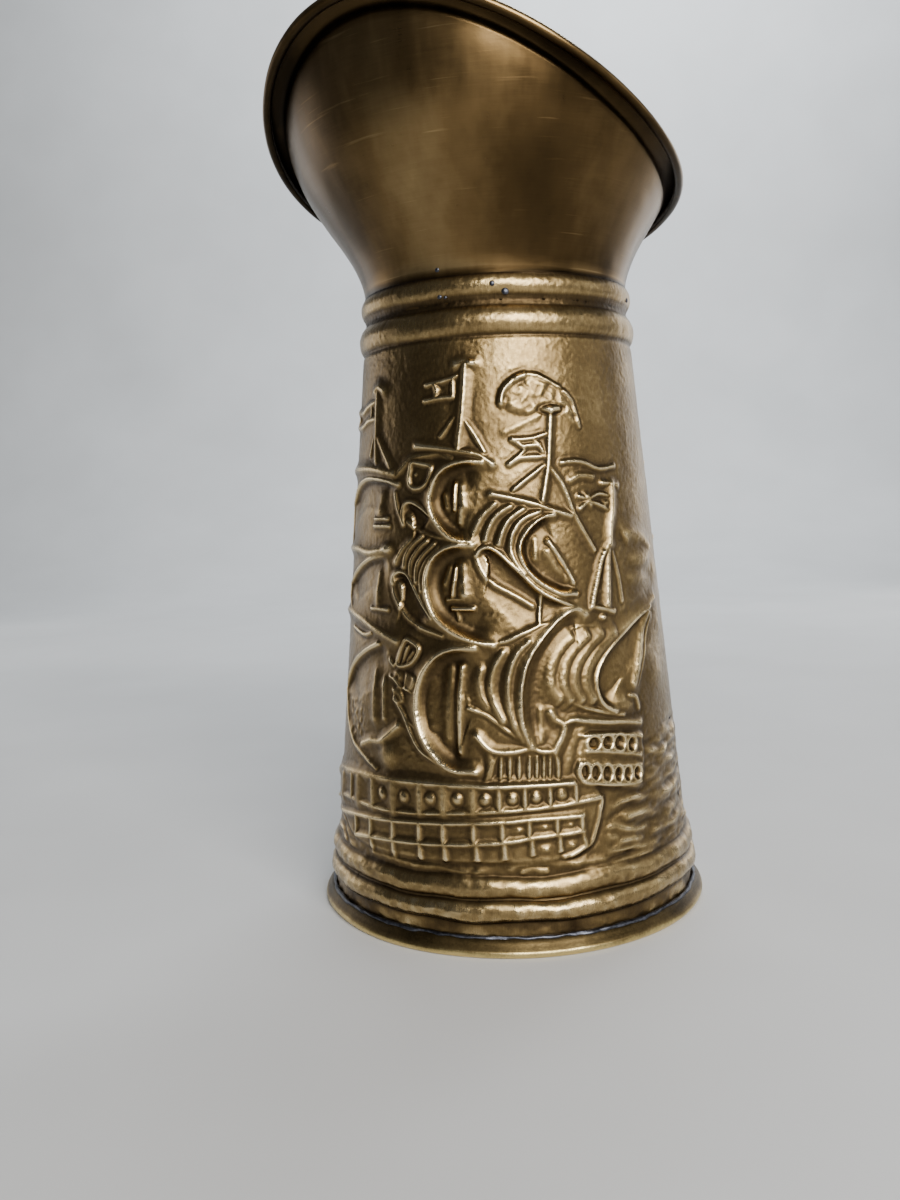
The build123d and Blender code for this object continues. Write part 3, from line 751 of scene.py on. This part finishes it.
def collar_line(turn):
    """Middle of the collar's sheet at each angle from the spout: spigot, flare, lip and curl.

    The flare's radius grows as 1 - exp(-(rise / height) ** power). FULLNESS is added to it high up, most
    at the spout and none at the back. The lip is a cubic from the flare's end to the curl, which is an arc.
    """
    height = MOUTH_MEAN + sum(a * np.cos((n + 1) * turn) for n, a in enumerate(MOUTH_SWOOP))
    reach = LIP_MEAN + LIP_SWING * np.cos(turn)
    centre = flare_radius(height - SEAM_HEIGHT) + reach - CURL_RADIUS - SHEET / 2
    top = height - SEAM_HEIGHT - LIP_RISE * reach
    spigot = np.linspace(SPIGOT_BOTTOM - SEAM_HEIGHT, -1.0, SPIGOT_ROWS)
    share = ease(np.linspace(0, 1, FLARE_ROWS)) * 0.5 + np.linspace(0, 1, FLARE_ROWS) * 0.5
    rise = np.concatenate([np.broadcast_to(spigot[:, None], (SPIGOT_ROWS, len(turn))), share[:, None] * top])
    radius = flare_radius(rise) - SHEET / 2
    step = 0.01
    slope = (flare_radius(top + step) - flare_radius(top)) / step
    start = np.stack([radius[-1], rise[-1] + SEAM_HEIGHT])
    end = np.stack([centre, height + CURL_RADIUS])
    length = np.hypot(*(end - start))
    lean = np.stack([slope, np.ones_like(slope)]) / np.hypot(slope, 1)
    t = np.linspace(0, 1, LIP_ROWS + 1)[1:, None, None]
    flat = np.stack([length, np.zeros_like(length)])
    lip = ((2 * t ** 3 - 3 * t ** 2 + 1) * start + (t ** 3 - 2 * t ** 2 + t) * lean * length
           + (3 * t ** 2 - 2 * t ** 3) * end + (t ** 3 - t ** 2) * flat)
    angle = np.radians(90 - CURL_WRAP * np.linspace(0, 1, CURL_ROWS + 1)[1:, None])
    curl = np.stack([centre + CURL_RADIUS * np.cos(angle), height + CURL_RADIUS * np.sin(angle)], 1)
    flare = np.stack([radius, rise + SEAM_HEIGHT], 1)
    line = np.concatenate([flare, lip, curl])
    fullness = ease((line[:, 1] - SEAM_HEIGHT - 15) / 45) * FULLNESS * (1 + np.cos(turn)) / 2
    line[:len(flare), 0] += fullness[:len(flare)]
    line[len(flare):len(flare) + LIP_ROWS, 0] += (fullness[len(flare) - 1] * (1 - t[:, 0]) ** 2)
    return line


def make_collar():
    """The collar: its middle line moved half a sheet to each side, carried round the mouth."""
    turn = np.linspace(0, 2 * np.pi, COLLAR_TURNS, endpoint=False)
    line = collar_line(turn)
    tangent = np.gradient(line, axis=0)
    tangent /= np.hypot(tangent[:, 0], tangent[:, 1])[:, None]
    outward = np.stack([tangent[:, 1], -tangent[:, 0]], 1)
    wave = noise((len(line), COLLAR_TURNS), 10.0, (1.4, 0.8), 31) * 0.12
    dents = noise((len(line), COLLAR_TURNS), 3.0, (1.4, 0.8), 32) * 0.03
    calm = ease(np.arange(len(line)) / 12)[:, None]
    line = line + outward * ((wave + dents) * calm)[:, None]
    sides = np.concatenate([line + outward * SHEET / 2, (line - outward * SHEET / 2)[::-1]])
    radius, height = sides[:, 0], sides[:, 1]
    direction = turn - np.pi / 2
    points = np.stack([radius * np.cos(direction), radius * np.sin(direction), height], -1)
    rows = len(sides)
    faces = [grid_faces(rows, COLLAR_TURNS, wrap_rows=True, wrap_columns=True)]
    along = np.cumsum(np.hypot(*np.diff(sides, axis=0, prepend=sides[:1]).transpose(1, 0, 2)), 0)
    uv = np.stack([np.broadcast_to(turn * COLLAR_RADIUS, along.shape), along], -1).reshape(-1, 2) / 10
    n = len(line)
    order = np.concatenate([np.arange(n), np.arange(n)[::-1]])
    flare_end = SPIGOT_ROWS + FLARE_ROWS
    lip_end = flare_end + LIP_ROWS
    # Tone down the sheet. Outside: dark on the spigot, lighter just above the seam, and darker under the lip,
    # partly patina and partly painted shade. Inside: the top of the lip and curl is a painted highlight, and
    # the lower curl is painted shade.
    stops = [0, SPIGOT_ROWS, SPIGOT_ROWS + 3, SPIGOT_ROWS + 7,
             flare_end - 4, flare_end + 3, lip_end - 1, n - 1]
    outside = np.interp(order[:n], stops, [-0.5, -0.5, 0.3, 0.0, 0.0, -0.45, -0.6, -0.6])
    inside = np.interp(order[n:], [0, flare_end, lip_end - 2, lip_end + 3, lip_end + 7, lip_end + 11, n - 1],
                       [0.0, 0.0, 0.3, 0.5, 0.1, -0.5, -0.6])
    # Painted light round the collar: a painted highlight about 5 degrees from the spout, with painted shade
    # some 40 degrees to each side of it.
    front = (np.degrees(turn) - PAINTED_LIGHT_AT + 180) % 360 - 180
    painted_light_band = 0.28 * np.exp(-(front / 16) ** 2) - 0.3 * np.exp(-((np.abs(front) - 40) / 14) ** 2)
    wear_and_painted_light = np.concatenate([outside[:, None] + painted_light_band, np.repeat(inside[:, None], COLLAR_TURNS, 1)])
    paint = {"wear_and_painted_light": wear_and_painted_light.ravel()}
    piece = make_piece("mouth_collar_sheet", points.reshape(-1, 3), faces, uv, paint)
    piece.data.materials.append(plain_brass)
    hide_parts("mouth_collar")


def revolve(name, profile, material, node, turns=720, lump=0.0, grain=8.0, seed=41, wear_and_painted_light=None):
    """A closed profile of (radius, height) carried round the axis; radius 0 closes it at a pole."""
    profile = np.array(profile, float)
    turn = np.linspace(0, 2 * np.pi, turns, endpoint=False)
    bumps = noise((len(profile), turns), grain, (1.0, 2 * np.pi * profile[:, 0].max() / turns), seed) * lump
    radius = profile[:, :1] + bumps * (profile[:, :1] > 60)
    height = np.broadcast_to(profile[:, 1:], radius.shape)
    points = np.stack([radius * np.cos(turn), radius * np.sin(turn), height], -1).reshape(-1, 3)
    closed_loop = profile[0, 0] > 0
    faces = [grid_faces(len(profile), turns, wrap_rows=closed_loop, wrap_columns=True)]
    uv = np.stack(np.broadcast_arrays(turn * profile[:, 0].max(), profile[:, 1:]), -1).reshape(-1, 2) / 10
    if not closed_loop:
        points, faces, uv = close_poles(points, len(profile), turns, uv)
    values = np.zeros(len(profile)) if wear_and_painted_light is None else np.array(wear_and_painted_light, float)
    paint = np.repeat(values, turns)
    if not closed_loop:
        paint = np.concatenate([values[:1], paint[turns:-turns], values[-1:]])
    piece = make_piece(name, points, faces, uv, {"wear_and_painted_light": paint})
    piece.data.materials.append(material)
    if node:
        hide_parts(node)
    return piece


def close_poles(points, rows, turns, uv):
    """Turns the first and last rows, which lie on the axis, into one point each."""
    points = np.concatenate([points[:1], points[turns:-turns], points[-1:]])
    uv = np.concatenate([uv[:1], uv[turns:-turns], uv[-1:]])
    c = np.arange(turns)
    after = (c + 1) % turns
    last = len(points) - 1
    start_fan = np.stack([np.zeros(turns, int), 1 + after, 1 + c], -1)
    low = 1 + (rows - 3) * turns
    end_fan = np.stack([low + c, low + after, np.full(turns, last)], -1)
    return points, [start_fan, grid_faces(rows - 2, turns, 1, wrap_columns=True), end_fan], uv


def arc(cx, cy, radius, start, end, n):
    """Points of an arc, in degrees."""
    t = np.radians(np.linspace(start, end, n))
    return [(cx + radius * math.cos(a), cy + radius * math.sin(a)) for a in t]


def make_foot():
    """Base pan: flat floor, rolled foot standing out all round, and a turned-up rim."""
    foot, roll, pan = 100.0, 2.2, 0.8
    wall = FOOT_RADIUS - TAPER * pan
    outer = arc(foot - roll, roll, roll, -90, 48, 16) + [(98.4, 4.9), (97.5, 6.1), (96.9, 7.2)]
    rim = [(wall + 0.75, 7.9), (wall + 0.35, 8.15), (wall, 7.9)]
    inner = [(96.1, 6.6), (96.9, 5.2), (97.6, 4.2)] + arc(foot - roll, roll, roll - pan, 48, -90, 14)
    floor = [(r, pan) for r in (92, 84, 72, 58, 42, 26, 12, 0)]
    under = [(r, 0.0) for r in (0, 12, 26, 42, 58, 72, 84, 92)]
    profile = np.array(under + outer + rim + inner + floor)
    from_edge = np.hypot(profile[:, 0] - 99.4, profile[:, 1] - 1.2)
    wear_and_painted_light = np.interp(from_edge, [0, 1.6, 3.2, 6.0], [0.9, 0.6, -0.05, -0.1])
    revolve("base_pan_sheet", profile, foot_brass, "base_pan",
            lump=0.16, grain=14.0, wear_and_painted_light=wear_and_painted_light)
    ring = arc(wall + 0.35, 8.0, 1.0, -40, 220, 14) + [(wall - 0.6, 7.2), (wall + 0.3, 7.0)]
    revolve("base_solder_bead", ring, solder, "base_solder_ring", lump=0.3, grain=2.0, seed=43)


def blob(centre, normal, radius, flatness):
    """Points and faces of a drop: a squashed ball of 11 rings of 20 points and two poles, on the surface."""
    up = Vector(normal).normalized()
    turn = np.array(up.to_track_quat("Z", "Y").to_matrix())
    polar = np.linspace(0, np.pi, 13)[1:-1, None]
    around = np.linspace(0, 2 * np.pi, 20, endpoint=False)
    ring = np.stack(np.broadcast_arrays(np.sin(polar) * np.cos(around), np.sin(polar) * np.sin(around),
                                        np.cos(polar) * flatness), -1).reshape(-1, 3)
    local = np.concatenate([[[0, 0, flatness]], ring, [[0, 0, -flatness]]]) * radius
    c = np.arange(20)
    after = (c + 1) % 20
    start = np.stack([np.zeros(20, int), 1 + c, 1 + after], -1)
    low = 1 + 10 * 20
    end = np.stack([low + after, low + c, np.full(20, low + 20)], -1)
    body = grid_faces(11, 20, 1, wrap_columns=True)[:, ::-1]
    return local @ turn.T + np.array(centre), [start, body, end]


def make_neck_solder():
    """Nine drops of solder splashed on the neck, each (angle, height, radius)."""
    drops = [(-22.8, 311.0, 1.1), (-0.8, 302.6, 1.3), (4.1, 299.0, 1.7),
             (-21.8, 298.6, 1.1), (-19.5, 298.2, 0.8), (71.0, 300.4, 1.2),
             (150.0, 303.0, 1.4), (154.0, 299.2, 1.0), (-120.0, 310.4, 1.0)]
    points, faces, count = [], [], 0
    for angle, height, radius in drops:
        turn = math.radians(angle + ZERO_MERIDIAN)
        out = float(np.where(height > NECK_TOP, flare_radius(height - SEAM_HEIGHT),
                             FOOT_RADIUS - TAPER * NECK_BOTTOM + bead_profile(np.array(height))))
        spot = (out * math.cos(turn), out * math.sin(turn), height)
        shape, sides = blob(spot, (math.cos(turn), math.sin(turn), 0.1), radius, 0.55)
        points.append(shape)
        faces += [side + count for side in sides]
        count += len(shape)
    triangles = np.concatenate([f for f in faces if f.shape[1] == 3])
    quads = np.concatenate([f for f in faces if f.shape[1] == 4])
    piece = make_piece("neck_solder_drops", np.concatenate(points), [triangles, quads])
    piece.data.materials.append(solder)


# ------------------------------------------------------------------------------------ materials

class Nodes:
    """A short way to build a material's nodes."""

    def __init__(self, name):
        self.material = bpy.data.materials.new(name)
        self.material.use_nodes = True
        self.tree = self.material.node_tree
        self.shader = self.tree.nodes["Principled BSDF"]

    def add(self, kind, inputs=(), **settings):
        """New node with these settings; inputs maps socket to a value or another node's output."""
        node = self.tree.nodes.new(kind)
        for key, value in settings.items():
            setattr(node, key, value)
        for key, value in dict(inputs).items():
            self.put(node.inputs[key], value)
        return node

    def put(self, socket, value):
        """Links an output to a socket, or sets the socket's own value."""
        if isinstance(value, bpy.types.NodeSocket):
            self.tree.links.new(value, socket)
        else:
            socket.default_value = value

    def attribute(self, name):
        """Factor of a mesh attribute."""
        return self.add("ShaderNodeAttribute", attribute_name=name).outputs["Fac"]

    def noise(self, vector, scale, detail=3.0, rough=0.6, stretch=(1, 1, 1)):
        """Noise factor, with the pattern stretched by dividing the coordinates."""
        place = self.add("ShaderNodeMapping", {"Vector": vector, "Scale": stretch})
        return self.add("ShaderNodeTexNoise", {"Vector": place.outputs["Vector"], "Scale": scale,
                                               "Detail": detail, "Roughness": rough}).outputs["Fac"]

    def math(self, kind, a, b=0.0, clamp=False):
        """One arithmetic step."""
        return self.add("ShaderNodeMath", {0: a, 1: b}, operation=kind, use_clamp=clamp).outputs[0]

    def ramp(self, factor, stops):
        """Colour ramp from (position, colour) stops."""
        node = self.add("ShaderNodeValToRGB", {"Fac": factor})
        elements = node.color_ramp.elements
        while len(elements) < len(stops):
            elements.new(0.5)
        for element, (position, colour) in zip(elements, stops):
            element.position = position
            element.color = (*colour, 1)
        return node.outputs["Color"]

    def span(self, factor, low, high, out_low, out_high):
        """Linear map of a factor from one range to another, clamped."""
        node = self.add("ShaderNodeMapRange", {"Value": factor, "From Min": low, "From Max": high,
                                               "To Min": out_low, "To Max": out_high})
        return node.outputs["Result"]

    def bump(self, height, strength, distance):
        """Bump normal from a height."""
        return self.add("ShaderNodeBump", {"Height": height, "Strength": strength,
                                           "Distance": distance}).outputs["Normal"]


def make_embossed_brass():
    """Aged brass: bright worn crests, brown ground brushed up and down, near-black recesses."""
    n = Nodes("embossed_brass")
    flat = n.add("ShaderNodeUVMap", uv_map="sheet").outputs["UV"]
    wear_and_painted_light = n.attribute("wear_and_painted_light")
    blotch = n.noise(flat, 0.35, 4.0, 0.6)
    streak = n.noise(flat, 6.0, 4.0, 0.7, stretch=(6.0, 0.35, 1))
    speck = n.noise(flat, 14.0, 3.0, 0.7)
    level = n.math("ADD", wear_and_painted_light, n.span(blotch, 0.3, 0.7, -0.16, 0.14))
    level = n.math("ADD", level, n.span(streak, 0.3, 0.7, -0.1, 0.1))
    level = n.math("ADD", level, n.span(speck, 0.25, 0.7, -0.1, 0.06))
    tone = n.span(level, -0.9, 1.1, 0.0, 1.0)
    colour = n.ramp(tone, [(0.1, (0.03, 0.019, 0.009)), (0.3, (0.085, 0.056, 0.025)),
                           (0.45, (0.165, 0.11, 0.045)), (0.62, (0.35, 0.25, 0.112)),
                           (0.82, (0.7, 0.56, 0.32))])
    n.put(n.shader.inputs["Base Color"], colour)
    n.shader.inputs["Metallic"].default_value = 1.0
    rough = n.span(tone, 0.2, 0.75, 0.42, 0.21)
    rough = n.math("ADD", rough, n.span(streak, 0.3, 0.7, -0.04, 0.06))
    n.put(n.shader.inputs["Roughness"], rough)
    grain = n.math("ADD", n.math("MULTIPLY", streak, 0.7), n.math("MULTIPLY", speck, 0.5))
    n.put(n.shader.inputs["Normal"], n.bump(grain, 0.35, 0.0002))
    return n.material


def make_plain_brass():
    """Darker satin brass with fine scratches that run nearly level."""
    n = Nodes("plain_brass")
    place = n.add("ShaderNodeTexCoord").outputs["Object"]
    wear_and_painted_light = n.attribute("wear_and_painted_light")
    blotch = n.noise(place, 14.0, 4.0, 0.55)
    level_lines = n.noise(place, 300.0, 5.0, 0.75, stretch=(0.25, 0.25, 5.0))
    upright = n.noise(place, 110.0, 3.0, 0.6, stretch=(1.0, 1.0, 0.06))
    tone = n.math("ADD", n.math("MULTIPLY", wear_and_painted_light, 0.6), n.span(blotch, 0.3, 0.7, 0.3, 0.52))
    scratch = n.noise(place, 90.0, 2.0, 0.5, stretch=(0.3, 0.3, 7.0))
    tone = n.math("ADD", tone, n.span(level_lines, 0.35, 0.7, -0.012, 0.02))
    tone = n.math("ADD", tone, n.span(upright, 0.3, 0.7, -0.035, 0.03))
    tone = n.math("ADD", tone, n.span(scratch, 0.66, 0.74, 0.0, 0.12))
    colour = n.ramp(tone, [(0.0, (0.014, 0.009, 0.004)), (0.3, (0.062, 0.038, 0.015)),
                           (0.5, (0.145, 0.092, 0.038)), (0.8, (0.34, 0.24, 0.11)),
                           (1.0, (0.6, 0.47, 0.25))])
    n.put(n.shader.inputs["Base Color"], colour)
    n.shader.inputs["Metallic"].default_value = 1.0
    rough = n.span(level_lines, 0.3, 0.7, 0.28, 0.33)
    rough = n.math("ADD", rough, n.span(upright, 0.3, 0.7, -0.02, 0.04))
    n.put(n.shader.inputs["Roughness"], rough)
    n.put(n.shader.inputs["Normal"], n.bump(level_lines, 0.12, 0.00012))
    return n.material


def make_foot_brass():
    """Foot: dull olive brass, worn to yellow along its lowest edge."""
    n = Nodes("foot_brass")
    place = n.add("ShaderNodeTexCoord").outputs["Object"]
    wear_and_painted_light = n.attribute("wear_and_painted_light")
    blotch = n.noise(place, 50.0, 4.0, 0.65)
    speck = n.noise(place, 900.0, 3.0, 0.7)
    tone = n.math("ADD", wear_and_painted_light, n.span(blotch, 0.3, 0.7, 0.05, 0.45))
    tone = n.math("ADD", tone, n.span(speck, 0.3, 0.7, -0.1, 0.1))
    colour = n.ramp(tone, [(0.0, (0.035, 0.024, 0.01)), (0.3, (0.09, 0.062, 0.026)),
                           (0.6, (0.2, 0.145, 0.06)), (1.0, (0.7, 0.55, 0.24))])
    n.put(n.shader.inputs["Base Color"], colour)
    n.shader.inputs["Metallic"].default_value = 1.0
    n.put(n.shader.inputs["Roughness"], n.span(tone, 0.2, 1.0, 0.46, 0.28))
    n.put(n.shader.inputs["Normal"], n.bump(speck, 0.3, 0.0002))
    return n.material


def make_grey_metal(name, dark, light, rough, scale):
    """Dull grey metal, such as solder or drawn wire, mottled on object coordinates."""
    n = Nodes(name)
    place = n.add("ShaderNodeTexCoord").outputs["Object"]
    mottle = n.noise(place, scale, 4.0, 0.65)
    n.put(n.shader.inputs["Base Color"], n.ramp(mottle, [(0.3, dark), (0.7, light)]))
    n.shader.inputs["Metallic"].default_value = 1.0
    n.put(n.shader.inputs["Roughness"], n.span(mottle, 0.3, 0.7, rough, rough + 0.15))
    n.put(n.shader.inputs["Normal"], n.bump(mottle, 0.4, 0.0003))
    return n.material


embossed_brass = make_embossed_brass()
plain_brass = make_plain_brass()
foot_brass = make_foot_brass()
solder = make_grey_metal("solder", (0.02, 0.02, 0.024), (0.12, 0.125, 0.15), 0.34, 420.0)
steel_wire = make_grey_metal("steel_wire", (0.1, 0.09, 0.08), (0.3, 0.29, 0.28), 0.4, 400.0)


# -------------------------------------------------------------------------- the object and stage

draw_ship()
make_panel("front_panel", False, seed=21)
make_panel("back_panel", True, seed=51)
make_collar()
make_foot()
make_neck_solder()
for node, material in (("rim_wire", steel_wire), ("side_seam_solder", solder), ("neck_solder_ring", solder)):
    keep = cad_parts[node]
    keep.data.materials.clear()
    keep.data.materials.append(material)


CAMERA_TURN = 29.6               # degrees from the spout to the camera


def make_camera():
    """Camera a little above half height, turned from the spout, looking slightly down."""
    azimuth, distance, height = math.radians(CAMERA_TURN), 0.5537, 0.2071
    pitch, yaw, roll = (math.radians(v) for v in (5.543, -2.957, -2.094))
    forward = Vector((math.sin(yaw) * math.cos(pitch), math.cos(yaw) * math.cos(pitch), -math.sin(pitch)))
    right = Vector((math.cos(yaw), -math.sin(yaw), 0))
    up = right.cross(forward)
    tilted = math.cos(roll) * right + math.sin(roll) * up
    upright = -math.sin(roll) * right + math.cos(roll) * up
    turn = Matrix.Rotation(azimuth, 4, "Z")
    pose = Matrix((tilted, upright, -forward)).transposed().to_4x4()
    pose.translation = Vector((0, -distance, height))
    data = bpy.data.cameras.new("camera")
    data.sensor_width = 36.0
    data.lens = 31.54
    camera = bpy.data.objects.new("camera", data)
    camera.matrix_world = turn @ pose
    bpy.context.scene.collection.objects.link(camera)
    bpy.context.scene.camera = camera


def make_light(name, azimuth, elevation, distance, width, height, power, colour=(1, 1, 1), aim=(0, 0, 0.2)):
    """Soft box at this direction from its aim, facing it. Azimuth 0 is on the camera's side."""
    turn = math.radians(CAMERA_TURN + azimuth)
    rise = math.radians(elevation)
    aim = Vector(aim)
    out = Vector((math.sin(turn) * math.cos(rise), -math.cos(turn) * math.cos(rise), math.sin(rise)))
    data = bpy.data.lights.new(name, "AREA")
    data.shape = "RECTANGLE"
    data.size, data.size_y = width, height
    data.energy = power
    data.color = colour
    lamp = bpy.data.objects.new(name, data)
    lamp.location = aim + out * distance
    lamp.rotation_euler = out.to_track_quat("Z", "Y").to_euler()
    bpy.context.scene.collection.objects.link(lamp)


def make_stage():
    """Pale floor that curves up behind, and a dim even surround."""
    turn = np.radians(CAMERA_TURN)
    x = np.linspace(-3.0, 3.0, 41)
    run = np.concatenate([np.linspace(-2.5, 1.6, 20), 1.6 + 0.9 * np.sin(np.linspace(0.1, np.pi / 2, 14)),
                          np.full(8, 2.5)])
    rise = np.concatenate([np.zeros(20), 0.9 - 0.9 * np.cos(np.linspace(0.1, np.pi / 2, 14)),
                           np.linspace(1.1, 3.2, 8)])
    gx, gr = np.meshgrid(x, run)
    _, gz = np.meshgrid(x, rise)
    points = np.stack([gx * np.cos(turn) - gr * np.sin(turn), gx * np.sin(turn) + gr * np.cos(turn), gz], -1)
    mesh = bpy.data.meshes.new("floor")
    mesh.from_pydata(points.reshape(-1, 3).tolist(), [], grid_faces(len(run), len(x)).tolist())
    mesh.shade_smooth()
    floor = bpy.data.objects.new("floor", mesh)
    bpy.context.scene.collection.objects.link(floor)
    n = Nodes("pale_floor")
    place = n.add("ShaderNodeTexCoord").outputs["Object"]
    greys = [(0.3, (0.46, 0.455, 0.445)), (0.7, (0.52, 0.515, 0.505))]
    n.put(n.shader.inputs["Base Color"], n.ramp(n.noise(place, 3.0), greys))
    n.shader.inputs["Roughness"].default_value = 0.8
    floor.data.materials.append(n.material)
    world = bpy.data.worlds.new("surround")
    world.use_nodes = True
    world.node_tree.nodes["Background"].inputs["Color"].default_value = (0.75, 0.8, 0.9, 1)
    world.node_tree.nodes["Background"].inputs["Strength"].default_value = 0.12
    bpy.context.scene.world = world


make_camera()
make_stage()
make_light("window", 20, 24, 1.8, 1.25, 0.8, 66, (1.0, 0.99, 0.97))
make_light("window_left", -119, 3, 1.7, 1.1, 0.8, 4.6, (1.0, 0.98, 0.95))
make_light("window_right", 84, 16, 1.7, 0.9, 1.0, 4.0, (0.96, 0.98, 1.0))
make_light("glow_right", 134, 8, 1.7, 0.9, 1.3, 7.5, (1.0, 0.98, 0.95))
make_light("backdrop", 20, 50, 1.8, 1.6, 0.6, 86, (0.86, 0.93, 1.0), aim=(-1.2, 2.0, 0.8))
